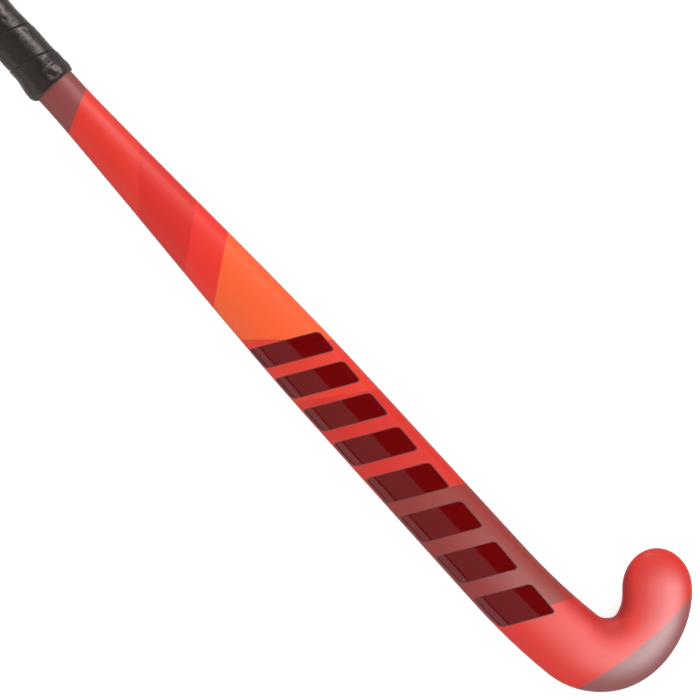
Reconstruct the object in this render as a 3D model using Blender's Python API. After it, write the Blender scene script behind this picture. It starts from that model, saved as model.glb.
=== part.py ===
"""Indoor hockey stick, in metres, lying on its flat playing face with its rounded back up.

+X runs from the butt to the head, +Y points to the toe side and +Z is up. The stick is first drawn straight,
in its own coordinates: along the shaft, across it towards the toe, and up from the face. The bow then bends
it in side view. The origin is the middle of the underside of its bounding box.
"""

import math

import bmesh
import bpy
from mathutils import Vector

# Overall lengths
STICK_LENGTH = 0.928
GRIP_LENGTH = 0.386  # from the butt to the lower edge of the tape
TAPER_LENGTH = 0.197  # where the round handle widens into the flat blade
BLADE_LENGTH = 0.222  # from the foot of the taper to the head
NECK_LENGTH = 0.040  # the soft start of the taper, inside it
SHOULDER_LENGTH = 0.052  # its soft end, inside the blade

# Widths, from the handle down to the toe
HANDLE_WIDTH = 0.0282
NECK_WIDTH = 0.0306
SHOULDER_WIDTH = 0.0440
BLADE_WIDTH = 0.0466
HEAD_START_WIDTH = 0.0488
HEEL_WIDTH = 0.0497
BEND_WIDTH = 0.0479
HOOK_WIDTH = 0.0440
TOE_WIDTH = 0.0453

# Thicknesses, from the flat face to the crown of the back
HANDLE_THICKNESS = 0.0240
BLADE_THICKNESS = 0.0205
HEEL_THICKNESS = 0.0210
TOE_THICKNESS = 0.0185

# The section: a flat face, rounded edges and a crowned back
HANDLE_FLAT = 0.004  # width of the narrow flat under the oval handle
BLADE_EDGE = 0.0075  # how far each rounded edge reaches under the flat face
BLADE_SIDE = 0.0078  # height of the widest line over the face
HANDLE_CROWN = 2.0  # exponent of the back's curve, where 2 is an ellipse
BLADE_CROWN = 2.15

# The hook in plan: three arcs of the middle line, then a rounded toe
LEAD_ANGLE = 8.7
LEAD_RADIUS = 0.418
HEEL_ANGLE = 94.5
HEEL_RADIUS = 0.0322
TOE_ANGLE = 37.2
TOE_RADIUS = 0.0474
TOE_ROUND = 0.0262

# The bow in side view
BOW_DEPTH = 0.020
BOW_LENGTH = 0.360
FACE_LENGTH = 0.112  # the straight playing face below the bow

# Laminate, fillings and the clearance between neighbours
SHAFT_WALL = 0.0024
HEAD_WALL = 0.0034
WEB_THICKNESS = 0.0018
PLUG_LENGTH = 0.060
HEAD_CORE_LENGTH = 0.150  # from the base up the shaft
CLEARANCE = 0.0003

# The end cap and its stem
CAP_THICKNESS = 0.005
CAP_EDGE = 0.0018
CAP_LIP = 0.0005  # how far its rim stands over the tape
STEM_RADIUS = 0.005
STEM_LENGTH = 0.022

# The wound tape
TAPE_PITCH = 0.0232
TAPE_SEAM = 0.00045  # open line between two turns
TAPE_THICKNESS = 0.0011
TAPE_LAP = 0.0004  # extra height where a turn starts over the one before
TAPE_BEVEL = 0.0005
TAPE_TIP = 0.002  # width of its pointed ends
TAPE_BACK_SHARE = 0.45  # part of the pitch that the seam covers on the back
FLARE_LENGTH = 0.021  # where the last turn bunches up
FLARE_LIP = 0.005
FLARE_HEEL = 0.0016
FLARE_TOE = 0.0009

# Facets
CORNER_SHARE = 5 / 12  # part of the face half that each rounded edge takes
OUTER_STEPS = (16, 4)  # over the back, and round each edge
INNER_STEPS = (10, 3)
SHAFT_STEP = 0.028
BEND_STEP = 6.0  # degrees
NOSE_STEPS = 6
CAP_EDGE_STEPS = 4
LOOP_POINTS = 24

# Places that follow from the sizes, measured along the middle line from the head's start
LEAD_END = math.radians(LEAD_ANGLE) * LEAD_RADIUS
HEEL_END = LEAD_END + math.radians(HEEL_ANGLE) * HEEL_RADIUS
TOE_LINE = HEEL_END + math.radians(TOE_ANGLE) * TOE_RADIUS

WIDTHS = (
    (-BLADE_LENGTH - TAPER_LENGTH, HANDLE_WIDTH),
    (NECK_LENGTH - BLADE_LENGTH - TAPER_LENGTH, NECK_WIDTH),
    (-BLADE_LENGTH, SHOULDER_WIDTH),
    (SHOULDER_LENGTH - BLADE_LENGTH, BLADE_WIDTH),
    (0, HEAD_START_WIDTH),
    (LEAD_END, HEEL_WIDTH),
    ((LEAD_END + HEEL_END) / 2, BEND_WIDTH),
    (HEEL_END, HOOK_WIDTH),
    (TOE_LINE, TOE_WIDTH),
)
THICKNESSES = (
    (-BLADE_LENGTH - TAPER_LENGTH, HANDLE_THICKNESS),
    (SHOULDER_LENGTH - BLADE_LENGTH, BLADE_THICKNESS),
    (LEAD_END, HEEL_THICKNESS),
    (TOE_LINE, TOE_THICKNESS),
)


def smooth_through(points, x):
    """A smooth curve through the points that never overshoots them, level beyond both ends."""
    if x <= points[0][0]:
        return points[0][1]
    if x >= points[-1][0]:
        return points[-1][1]
    slopes = [(b[1] - a[1]) / (b[0] - a[0]) for a, b in zip(points, points[1:])]
    i = max(k for k in range(len(slopes)) if points[k][0] <= x)

    def tangent(k):
        if k in (0, len(slopes)) or slopes[k - 1] * slopes[k] <= 0:
            return 0.0
        return 2 * slopes[k - 1] * slopes[k] / (slopes[k - 1] + slopes[k])

    width = points[i + 1][0] - points[i][0]
    t = (x - points[i][0]) / width
    start, end = points[i][1], points[i + 1][1]
    bend = (1 - t) * width * tangent(i) - t * width * tangent(i + 1)
    return start + (end - start) * t * t * (3 - 2 * t) + t * (1 - t) * bend


def head_spine(distance):
    """The hook's middle line in plan: (along, across, heading) at a distance from the head's start."""
    along = min(distance, 0.0)
    across = heading = 0.0
    left = max(distance, 0.0)
    arcs = ((LEAD_ANGLE, LEAD_RADIUS), (HEEL_ANGLE, HEEL_RADIUS), (TOE_ANGLE, TOE_RADIUS))
    for angle, radius in arcs:
        turn = min(left / radius, math.radians(angle))
        along += radius * (math.sin(heading + turn) - math.sin(heading))
        across += radius * (math.cos(heading) - math.cos(heading + turn))
        heading += turn
        left -= turn * radius
    return along + left * math.cos(heading), across + left * math.sin(heading), heading


def head_reach():
    """How far the base of the hook lies beyond the head's start."""
    reach = 0.0
    for i in range(201):
        distance = TOE_LINE * i / 200
        along, _, heading = head_spine(distance)
        reach = max(reach, along + smooth_through(WIDTHS, distance) / 2 * math.sin(heading))
    return reach


HEAD_START = STICK_LENGTH - head_reach()
BOW_END = STICK_LENGTH - FACE_LENGTH
BOW_START = BOW_END - BOW_LENGTH
TAPE_OUTSIDE = CLEARANCE + TAPE_THICKNESS + TAPE_LAP


def bow_angles():
    """The slopes of the handle and of the playing face, in radians, that leave both ends on the floor.

    The cap's rim touches it at the butt, and the end of the flat face at the base of the hook.
    """
    handle_arm = BOW_START + BOW_LENGTH / 2
    face_arm = FACE_LENGTH - BLADE_EDGE + BOW_LENGTH / 2
    ratio = handle_arm / face_arm
    handle = BOW_DEPTH / (BOW_START + BOW_LENGTH / 2 / (1 + ratio))
    face = (handle * handle_arm + TAPE_OUTSIDE + CAP_LIP) / face_arm
    return handle, face


HANDLE_SLOPE, FACE_SLOPE = bow_angles()


def bowed(along, across, up):
    """Bends a point of the straight stick into the bow."""
    bent = min(max(along - BOW_START, 0.0), BOW_LENGTH)
    radius = BOW_LENGTH / (HANDLE_SLOPE + FACE_SLOPE)
    slope = HANDLE_SLOPE - bent / radius
    before = min(along, BOW_START)
    after = max(along - BOW_END, 0.0)
    x = before * math.cos(HANDLE_SLOPE) + radius * (math.sin(HANDLE_SLOPE) - math.sin(slope))
    z = before * math.sin(HANDLE_SLOPE) + radius * (math.cos(slope) - math.cos(HANDLE_SLOPE))
    x += after * math.cos(slope) - up * math.sin(slope)
    z += after * math.sin(slope) + up * math.cos(slope)
    return Vector((x, across, z))


def section_at(distance):
    """(half width, thickness, height of the widest line, reach of the edge, crown) of the D section."""
    place = distance - HEAD_START
    half = smooth_through(WIDTHS, place) / 2
    thickness = smooth_through(THICKNESSES, place)
    foot = SHOULDER_LENGTH - BLADE_LENGTH
    flattened = smooth_through(((foot - TAPER_LENGTH, 0.0), (foot, 1.0)), place)
    side = thickness / 2 + flattened * (BLADE_SIDE - thickness / 2)
    oval_edge = half - HANDLE_FLAT / 2
    edge = oval_edge + flattened * (BLADE_EDGE - oval_edge)
    crown = HANDLE_CROWN + flattened * (BLADE_CROWN - HANDLE_CROWN)
    return half, thickness, side, edge, crown


def across_share(share, edge_share, crown):
    """How far across the section a share of its outline lies: -1 at the heel edge and 1 at the toe edge."""
    if share < 0.5:
        turn = math.cos(math.tau * share)
        return -math.copysign(abs(turn) ** (2 / crown), turn)
    part = 2 * share - 1
    flat = 1 - edge_share
    mirrored = min(part, 1 - part)
    if mirrored < CORNER_SHARE:
        place = flat + edge_share * math.cos(math.pi / 2 * mirrored / CORNER_SHARE)
        return math.copysign(place, 0.5 - part)
    return flat * (1 - 2 * part) / (1 - 2 * CORNER_SHARE)


def stick_point(distance, share, inset=0.0, nose=0.0):
    """A point on the stick, sunk by inset: share runs from the heel edge over the back and home under the face.

    Nose runs from 0 at the toe's last full section to 1 at its tip.
    """
    half, thickness, side, edge, crown = section_at(distance)
    half -= inset
    edge_share = (edge - inset) / half
    aside = across_share(share, edge_share, crown) * math.sqrt(1 - nose**2)
    out = min(math.hypot(nose, aside), 1.0)
    if share < 0.5:
        up = side + (thickness - side - inset) * (1 - out**crown) ** (1 / crown)
    else:
        rounded = max(out - 1 + edge_share, 0.0) / edge_share
        up = side - (side - inset) * math.sqrt(max(1 - rounded**2, 0.0))
    along, across, heading = head_spine(distance - HEAD_START)
    forward = nose * (TOE_ROUND - inset)
    along += HEAD_START + forward * math.cos(heading) - half * aside * math.sin(heading)
    across += forward * math.sin(heading) + half * aside * math.cos(heading)
    return bowed(along, across, up)


def wall_at(distance):
    return smooth_through(((-HEAD_CORE_LENGTH, SHAFT_WALL), (0, HEAD_WALL)), distance - HEAD_START)


def outline_shares(steps):
    """Shares round a section, with a point at each end of the flat face."""
    over_back, round_edge = steps
    corner = CORNER_SHARE / 2
    back = [0.5 * i / over_back for i in range(over_back)]
    toe_edge = [0.5 + corner * i / round_edge for i in range(round_edge + 1)]
    heel_edge = [1 - corner * (round_edge - i) / round_edge for i in range(round_edge)]
    return back + toe_edge + heel_edge


def stations(start, end=None):
    """(distance, nose) of each section from start to end, or to the tip of the toe."""
    count = math.ceil(HEAD_START / SHAFT_STEP)
    places = [HEAD_START * i / count for i in range(1, count + 1)]
    for from_place, to_place, angle in (
        (0, LEAD_END, LEAD_ANGLE),
        (LEAD_END, HEEL_END, HEEL_ANGLE),
        (HEEL_END, TOE_LINE, TOE_ANGLE),
    ):
        count = max(3, math.ceil(angle / BEND_STEP))
        step = (to_place - from_place) / count
        places += [HEAD_START + from_place + step * i for i in range(1, count + 1)]
    if end is not None:
        inside = [place for place in places if start + SHAFT_STEP / 4 < place < end - SHAFT_STEP / 4]
        return [(place, 0.0) for place in [start, *inside, end]]
    body = [(place, 0.0) for place in [start, *(p for p in places if p > start + SHAFT_STEP / 4)]]
    tip = [math.sin(math.pi / 2 * i / NOSE_STEPS) for i in range(1, NOSE_STEPS + 1)]
    return body + [(places[-1], nose) for nose in tip]


def new_object(name, mesh, collection):
    thing = bpy.data.objects.new(name, mesh)
    collection.objects.link(thing)
    thing.parent = rest
    return thing


def loft(name, rings, collection):
    """A closed solid through rings of points, each with the same number of points."""
    bm = bmesh.new()
    loops = [[bm.verts.new(point) for point in ring] for ring in rings]
    count = len(loops[0])
    for first, second in zip(loops, loops[1:]):
        for k in range(count):
            following = (k + 1) % count
            bm.faces.new((first[k], first[following], second[following], second[k]))
    bm.faces.new(loops[0])
    bm.faces.new(loops[-1])
    bmesh.ops.remove_doubles(bm, verts=bm.verts, dist=1e-6)
    bmesh.ops.recalc_face_normals(bm, faces=bm.faces)
    mesh = bpy.data.meshes.new(name)
    bm.to_mesh(mesh)
    bm.free()
    mesh.shade_smooth()
    mesh.set_sharp_from_angle(angle=math.radians(35))
    return new_object(name, mesh, collection)


def stick_loft(name, collection, places, steps, inset):
    """A loft along the stick, sunk below its surface by inset, a function of the distance."""
    shares = outline_shares(steps)
    rings = [[stick_point(d, share, inset(d), nose) for share in shares] for d, nose in places]
    return loft(name, rings, collection)


def finish(thing, colour, roughness, metallic=0.0):
    """Gives a piece its own painted, moulded or foamed material."""
    material = bpy.data.materials.new(thing.name)
    material.use_nodes = True
    shader = material.node_tree.nodes["Principled BSDF"]
    shader.inputs["Base Color"].default_value = (*colour, 1.0)
    shader.inputs["Roughness"].default_value = roughness
    shader.inputs["Metallic"].default_value = metallic
    thing.data.materials.append(material)


def as_cutter(thing):
    thing.hide_render = True
    thing.display_type = "WIRE"
    return thing


def combine(thing, other, operation):
    modifier = thing.modifiers.new(other.name, "BOOLEAN")
    modifier.operation = operation
    modifier.object = other


def rod(name, start, length, radius):
    """A round bar on the handle's axis."""
    middle = section_at(start)[2]
    bm = bmesh.new()
    bmesh.ops.create_cone(
        bm, cap_ends=True, segments=24, radius1=radius, radius2=radius, depth=length
    )
    mesh = bpy.data.meshes.new(name)
    bm.to_mesh(mesh)
    bm.free()
    thing = new_object(name, mesh, cutters)
    thing.location = bowed(start + length / 2, 0.0, middle)
    thing.rotation_euler = (0.0, math.pi / 2 - HANDLE_SLOPE, 0.0)
    return as_cutter(thing)


def zone(name, heel_side, toe_side):
    """A box over the whole stick that spans a strip across it."""
    bm = bmesh.new()
    bmesh.ops.create_cube(bm, size=1.0)
    mesh = bpy.data.meshes.new(name)
    bm.to_mesh(mesh)
    bm.free()
    thing = new_object(name, mesh, cutters)
    thing.location = (STICK_LENGTH / 2, (heel_side + toe_side) / 2, 0.0)
    thing.scale = (2 * STICK_LENGTH, toe_side - heel_side, STICK_LENGTH)
    return as_cutter(thing)


SHELL_START = CAP_THICKNESS + CLEARANCE
CORE_START = PLUG_LENGTH + SHELL_START + CLEARANCE
CORE_END = STICK_LENGTH - HEAD_CORE_LENGTH


def laminate_shell():
    """The moulded shaft and head, hollow from the open butt to the toe."""
    shell = stick_loft(
        "laminate_shell", parts, stations(SHELL_START), OUTER_STEPS, lambda distance: 0.0
    )
    hollow = stick_loft("hollow", cutters, stations(-CAP_THICKNESS), INNER_STEPS, wall_at)
    combine(shell, as_cutter(hollow), "DIFFERENCE")
    finish(shell, (0.76, 0.06, 0.04), 0.38)


def filling(name, start, end=None):
    """A piece that fills the hollow between two places, or from one to the toe."""
    return stick_loft(
        name, parts, stations(start, end), INNER_STEPS, lambda distance: wall_at(distance) + CLEARANCE
    )


def shaft_fillings():
    """The upright web and the foam bar on each side of it."""
    web_side = WEB_THICKNESS / 2
    foam_side = web_side + CLEARANCE
    beyond = HEEL_WIDTH
    for name, heel_side, toe_side, colour, roughness in (
        ("centre_web", -web_side, web_side, (0.03, 0.03, 0.035), 0.45),
        ("heel_side_core", -beyond, -foam_side, (0.78, 0.70, 0.48), 0.9),
        ("toe_side_core", foam_side, beyond, (0.78, 0.70, 0.48), 0.9),
    ):
        bar = filling(name, CORE_START, CORE_END)
        combine(bar, zone(name + "_zone", heel_side, toe_side), "INTERSECT")
        finish(bar, colour, roughness)


def head_core():
    """The dense foam that backs the playing face, from the blade round the hook to the toe."""
    core = filling("head_core", CORE_END + CLEARANCE)
    finish(core, (0.55, 0.40, 0.18), 0.85)


def handle_plug():
    """The plug in the open butt, with a blind hole for the cap's stem."""
    plug = filling("handle_plug", SHELL_START, SHELL_START + PLUG_LENGTH)
    hole_start = SHELL_START - CAP_THICKNESS
    hole_length = CAP_THICKNESS + STEM_LENGTH + CLEARANCE
    combine(plug, rod("stem_hole", hole_start, hole_length, STEM_RADIUS + CLEARANCE), "DIFFERENCE")
    finish(plug, (0.45, 0.44, 0.42), 0.8)


def butt_cap():
    """The end cap: a disc with a rounded rim, as wide as the tape, and a stem for the plug."""
    rim = -(TAPE_OUTSIDE + CAP_LIP)
    turns = [math.pi / 2 * i / CAP_EDGE_STEPS for i in range(CAP_EDGE_STEPS + 1)]
    profile = [
        (CAP_EDGE * (1 - math.cos(turn)), rim + CAP_EDGE * (1 - math.sin(turn))) for turn in turns
    ]
    profile.append((CAP_THICKNESS, rim))
    shares = outline_shares(OUTER_STEPS)
    rings = [[stick_point(place, share, inset) for share in shares] for place, inset in profile]
    cap = loft("butt_cap", rings, parts)
    combine(cap, rod("stem", CAP_THICKNESS / 2, CAP_THICKNESS / 2 + STEM_LENGTH, STEM_RADIUS), "UNION")
    finish(cap, (0.02, 0.02, 0.02), 0.6)


def flare_at(place, share):
    """Extra height of the last turn, where the tape bunches up and rolls in to the shaft."""
    to_end = GRIP_LENGTH - place
    rise = smooth_through(((-FLARE_LENGTH, 0.0), (-FLARE_LIP, 1.0)), -to_end)
    fall = smooth_through(((0.0, 0.35), (FLARE_LIP, 1.0)), to_end)
    heel = (1 + math.cos(math.tau * share)) / 2
    return rise * fall * (FLARE_TOE + (FLARE_HEEL - FLARE_TOE) * heel)


def tape_ring(turns):
    """The tape's cross-section after this many turns, counted back from its pointed lower end."""
    share = turns % 1.0
    ease = (1 - 2 * TAPE_BACK_SHARE) * (1 - math.cos(math.tau * share)) / 4
    start = GRIP_LENGTH - TAPE_TIP + TAPE_PITCH * (turns - ease)
    end = min(start + TAPE_PITCH - TAPE_SEAM, GRIP_LENGTH)
    start = max(start, CAP_THICKNESS + CLEARANCE)
    width = end - start
    bevel = min(TAPE_BEVEL, width / 4)
    lap = TAPE_THICKNESS + TAPE_LAP
    profile = (
        (0.0, lap - bevel),
        (bevel, lap),
        (width * 0.3, TAPE_THICKNESS + TAPE_LAP / 2),
        (width * 0.65, TAPE_THICKNESS),
        (width - bevel, TAPE_THICKNESS),
        (width, TAPE_THICKNESS - bevel),
    )
    outer = [(start + x, CLEARANCE + up + flare_at(start + x, share)) for x, up in profile]
    inner = [(end, CLEARANCE), (start, CLEARANCE)]
    return [stick_point(place, share, -height) for place, height in outer + inner]


def grip_tape():
    """One strip wound from the cap down to the bare shaft, its ends cut to points so that both edges are square."""
    covered = GRIP_LENGTH - CAP_THICKNESS - CLEARANCE
    turns = (covered + TAPE_PITCH - TAPE_SEAM - 2 * TAPE_TIP) / TAPE_PITCH
    count = math.floor(turns * LOOP_POINTS)
    rings = [tape_ring(i / LOOP_POINTS) for i in range(-count, 1)]
    least = min(
        (a - b).length
        for ring, following in zip(rings, rings[LOOP_POINTS:])
        for a in ring
        for b in following
    )
    print(f"grip_tape: {count / LOOP_POINTS:.1f} turns, least gap to itself {least * 1000:.2f} mm")
    tape = loft("grip_tape", rings, parts)
    finish(tape, (0.035, 0.03, 0.028), 0.55)


def stand_on_floor():
    """Moves the stick so that the origin is the middle of the underside of its bounding box."""
    bpy.context.view_layer.update()
    graph = bpy.context.evaluated_depsgraph_get()
    corners = []
    for thing in parts.objects:
        evaluated = thing.evaluated_get(graph)
        mesh = evaluated.to_mesh()
        corners += [evaluated.matrix_world @ vertex.co for vertex in mesh.vertices]
        evaluated.to_mesh_clear()
    low = Vector(min(corner[i] for corner in corners) for i in range(3))
    high = Vector(max(corner[i] for corner in corners) for i in range(3))
    rest.location = (-(low.x + high.x) / 2, -(low.y + high.y) / 2, -low.z)
    size = (high - low) * 1000
    print(f"stick: {size.x:.1f} x {size.y:.1f} x {size.z:.1f} mm, moved by {rest.location[:]}")


for old in list(bpy.data.objects):
    bpy.data.objects.remove(old)

parts = bpy.data.collections.new("indoor_hockey_stick")
cutters = bpy.data.collections.new("cutters")
bpy.context.scene.collection.children.link(parts)
bpy.context.scene.collection.children.link(cutters)
rest = bpy.data.objects.new("rest", None)
bpy.context.scene.collection.objects.link(rest)

laminate_shell()
shaft_fillings()
head_core()
handle_plug()
butt_cap()
grip_tape()
stand_on_floor()
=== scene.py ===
# %% [markdown]
# # An indoor hockey stick
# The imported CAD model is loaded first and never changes: it says where each piece is. Everything after it is
# looks. Where the CAD's facets are too coarse to look at, a finer piece is drawn from the same sizes and
# stands for its node. All lengths are metres, as in the frame.

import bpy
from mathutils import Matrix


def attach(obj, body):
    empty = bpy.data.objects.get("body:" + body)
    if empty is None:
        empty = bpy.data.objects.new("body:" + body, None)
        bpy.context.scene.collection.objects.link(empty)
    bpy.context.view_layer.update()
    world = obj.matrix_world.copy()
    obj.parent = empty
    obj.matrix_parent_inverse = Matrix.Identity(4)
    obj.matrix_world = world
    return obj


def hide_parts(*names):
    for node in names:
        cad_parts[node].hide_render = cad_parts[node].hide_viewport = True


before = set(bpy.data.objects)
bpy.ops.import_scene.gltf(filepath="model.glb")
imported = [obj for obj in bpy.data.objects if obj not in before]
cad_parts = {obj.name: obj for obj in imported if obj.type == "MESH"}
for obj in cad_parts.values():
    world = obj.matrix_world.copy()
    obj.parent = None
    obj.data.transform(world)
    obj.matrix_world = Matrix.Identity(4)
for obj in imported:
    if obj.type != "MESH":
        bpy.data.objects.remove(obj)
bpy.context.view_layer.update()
print("CAD nodes:", ", ".join(sorted(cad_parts)))

# %% Blender's modules
import math

import bmesh
import bpy
import numpy as np
from mathutils import Vector

scene = bpy.context.scene
scene.view_settings.view_transform = "Standard"

# %% [markdown]
# ## The camera
# The photograph was taken with a long lens from straight above, and the stick was turned in the picture. So
# the camera looks straight down, is rolled until the shaft runs to the lower right, and stands far back with
# a lens to match. The stick's scale in the picture then gives the focal length.

# %% Camera
PICTURE_SIDE = 700  # pixels
PIXELS_PER_METRE = 1547
SHAFT_SLOPE_IN_PICTURE = math.radians(47.746)  # below the horizontal
PICTURE_CENTRE = Vector((0.17754, -0.0084, 0.015))  # what the picture's middle shows
CAMERA_DISTANCE = 8.0
SENSOR = 0.036

camera = bpy.data.objects.new("camera", bpy.data.cameras.new("camera"))
scene.collection.objects.link(camera)
scene.camera = camera
camera.location = PICTURE_CENTRE + Vector((0, 0, CAMERA_DISTANCE))
camera.rotation_euler = (0, 0, SHAFT_SLOPE_IN_PICTURE)
camera.data.sensor_width = SENSOR * 1000
camera.data.lens = SENSOR * 1000 * CAMERA_DISTANCE * PIXELS_PER_METRE / PICTURE_SIDE
print(f"lens: {camera.data.lens:.0f} mm")

# %% [markdown]
# ## The stick's form
# A stick is drawn straight and then bent, as its mould is. Its section is a D: a flat face, two rounded edges
# and a crowned back. Widths and thicknesses run smoothly through a few real sizes along the middle line, the
# hook is three arcs, and the bow bends the whole in side view. These are the sizes and formulas of the CAD
# part, so the finer skin that is drawn from them lies where its solid does.

# %% Sizes of the stick
STICK_LENGTH = 0.928
GRIP_LENGTH = 0.386
TAPER_LENGTH = 0.197
BLADE_LENGTH = 0.222
NECK_LENGTH = 0.040
SHOULDER_LENGTH = 0.052
HANDLE_FLAT = 0.004
BLADE_EDGE = 0.0075
BLADE_SIDE = 0.0078
HANDLE_CROWN = 2.0
BLADE_CROWN = 2.15
ARCS = ((8.7, 0.418), (94.5, 0.0322), (37.2, 0.0474))  # the hook's lead, heel and toe: degrees, radius
TOE_ROUND = 0.0262
BOW_DEPTH = 0.020
BOW_LENGTH = 0.360
FACE_LENGTH = 0.112
SHAFT_WALL = 0.0024
HEAD_WALL = 0.0034
HEAD_CORE_LENGTH = 0.150
CLEARANCE = 0.0003
CAP_THICKNESS = 0.005
CAP_EDGE = 0.0018
CAP_LIP = 0.0005
STEM_RADIUS = 0.005
STEM_LENGTH = 0.022
TAPE_THICKNESS = 0.0011
TAPE_LAP = 0.0004
CORNER_SHARE = 5 / 12  # how much of the outline under the face each rounded edge takes

CAP_END = CAP_THICKNESS + CLEARANCE  # the moulding and the tape start here
LEAD_END = math.radians(ARCS[0][0]) * ARCS[0][1]
HEEL_END = LEAD_END + math.radians(ARCS[1][0]) * ARCS[1][1]
TOE_LINE = HEEL_END + math.radians(ARCS[2][0]) * ARCS[2][1]
WIDTHS = (  # distance from the head's start, width
    (-BLADE_LENGTH - TAPER_LENGTH, 0.0282),
    (NECK_LENGTH - BLADE_LENGTH - TAPER_LENGTH, 0.0306),
    (-BLADE_LENGTH, 0.0440),
    (SHOULDER_LENGTH - BLADE_LENGTH, 0.0466),
    (0, 0.0488),
    (LEAD_END, 0.0497),
    ((LEAD_END + HEEL_END) / 2, 0.0479),
    (HEEL_END, 0.0440),
    (TOE_LINE, 0.0453),
)
THICKNESSES = (  # distance from the head's start, thickness
    (-BLADE_LENGTH - TAPER_LENGTH, 0.0240),
    (SHOULDER_LENGTH - BLADE_LENGTH, 0.0205),
    (LEAD_END, 0.0210),
    (TOE_LINE, 0.0185),
)
print(f"the hook is {TOE_LINE * 1000:.1f} mm long round its middle line")


# %% The middle line and the section
def smooth_through(points, x):
    """A smooth curve through the points that never overshoots them, level beyond both ends."""
    if x <= points[0][0]:
        return points[0][1]
    if x >= points[-1][0]:
        return points[-1][1]
    slopes = [(b[1] - a[1]) / (b[0] - a[0]) for a, b in zip(points, points[1:])]
    i = max(k for k in range(len(slopes)) if points[k][0] <= x)

    def tangent(k):
        if k in (0, len(slopes)) or slopes[k - 1] * slopes[k] <= 0:
            return 0.0
        return 2 * slopes[k - 1] * slopes[k] / (slopes[k - 1] + slopes[k])

    width = points[i + 1][0] - points[i][0]
    t = (x - points[i][0]) / width
    start, end = points[i][1], points[i + 1][1]
    bend = (1 - t) * width * tangent(i) - t * width * tangent(i + 1)
    return start + (end - start) * t * t * (3 - 2 * t) + t * (1 - t) * bend


def head_spine(distance):
    """The hook's middle line in plan: (along, across, heading) at a distance from the head's start."""
    along = min(distance, 0.0)
    across = heading = 0.0
    left = max(distance, 0.0)
    for angle, radius in ARCS:
        turn = min(left / radius, math.radians(angle))
        along += radius * (math.sin(heading + turn) - math.sin(heading))
        across += radius * (math.cos(heading) - math.cos(heading + turn))
        heading += turn
        left -= turn * radius
    return along + left * math.cos(heading), across + left * math.sin(heading), heading


def head_reach(samples=200):
    """How far the base of the hook lies beyond the head's start."""
    reach = 0.0
    for i in range(samples + 1):
        distance = TOE_LINE * i / samples
        along, _, heading = head_spine(distance)
        reach = max(reach, along + smooth_through(WIDTHS, distance) / 2 * math.sin(heading))
    return reach


HEAD_START = STICK_LENGTH - head_reach()
print(f"the head starts {HEAD_START * 1000:.1f} mm from the butt")


# %% The bow
BOW_END = STICK_LENGTH - FACE_LENGTH
BOW_START = BOW_END - BOW_LENGTH
TAPE_OUTSIDE = CLEARANCE + TAPE_THICKNESS + TAPE_LAP
HANDLE_ARM = BOW_START + BOW_LENGTH / 2
FACE_ARM = FACE_LENGTH - BLADE_EDGE + BOW_LENGTH / 2
HANDLE_SLOPE = BOW_DEPTH / (BOW_START + BOW_LENGTH / 2 / (1 + HANDLE_ARM / FACE_ARM))
FACE_SLOPE = (HANDLE_SLOPE * HANDLE_ARM + TAPE_OUTSIDE + CAP_LIP) / FACE_ARM
ORIGIN = Vector((-0.4632456, -0.0347200, 0.0022805))  # the middle of the butt's face, in the frame


def bowed(along, across, up):
    """Points of the straight stick, bent into the bow and moved to their place in the frame."""
    along = along + 0 * across
    bent = np.clip(along - BOW_START, 0.0, BOW_LENGTH)
    radius = BOW_LENGTH / (HANDLE_SLOPE + FACE_SLOPE)
    slope = HANDLE_SLOPE - bent / radius
    before = np.minimum(along, BOW_START)
    after = np.maximum(along - BOW_END, 0.0)
    x = before * math.cos(HANDLE_SLOPE) + radius * (math.sin(HANDLE_SLOPE) - np.sin(slope))
    z = before * math.sin(HANDLE_SLOPE) + radius * (np.cos(slope) - math.cos(HANDLE_SLOPE))
    x = x + after * np.cos(slope) - up * np.sin(slope)
    z = z + after * np.sin(slope) + up * np.cos(slope)
    return np.stack([x, across, z], axis=-1) + np.array(ORIGIN)


print(f"the handle rises by {math.degrees(HANDLE_SLOPE):.2f} degrees")


# %% Rings of points round the stick
def section_at(distance):
    """(half width, thickness, height of the widest line, reach of the edge, crown) of the D section."""
    place = distance - HEAD_START
    half = smooth_through(WIDTHS, place) / 2
    thickness = smooth_through(THICKNESSES, place)
    foot = SHOULDER_LENGTH - BLADE_LENGTH
    flattened = smooth_through(((foot - TAPER_LENGTH, 0.0), (foot, 1.0)), place)
    side = thickness / 2 + flattened * (BLADE_SIDE - thickness / 2)
    oval_edge = half - HANDLE_FLAT / 2
    edge = oval_edge + flattened * (BLADE_EDGE - oval_edge)
    crown = HANDLE_CROWN + flattened * (BLADE_CROWN - HANDLE_CROWN)
    return half, thickness, side, edge, crown


def outline(over_back, round_edge, over_face):
    """Shares round the section: from the heel edge over the back to the toe edge, and home under the face."""
    corner = CORNER_SHARE / 2
    return np.concatenate([
        np.linspace(0, 0.5, over_back, endpoint=False),
        np.linspace(0.5, 0.5 + corner, round_edge, endpoint=False),
        np.linspace(0.5 + corner, 1 - corner, over_face, endpoint=False),
        np.linspace(1 - corner, 1, round_edge, endpoint=False),
    ])


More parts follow.
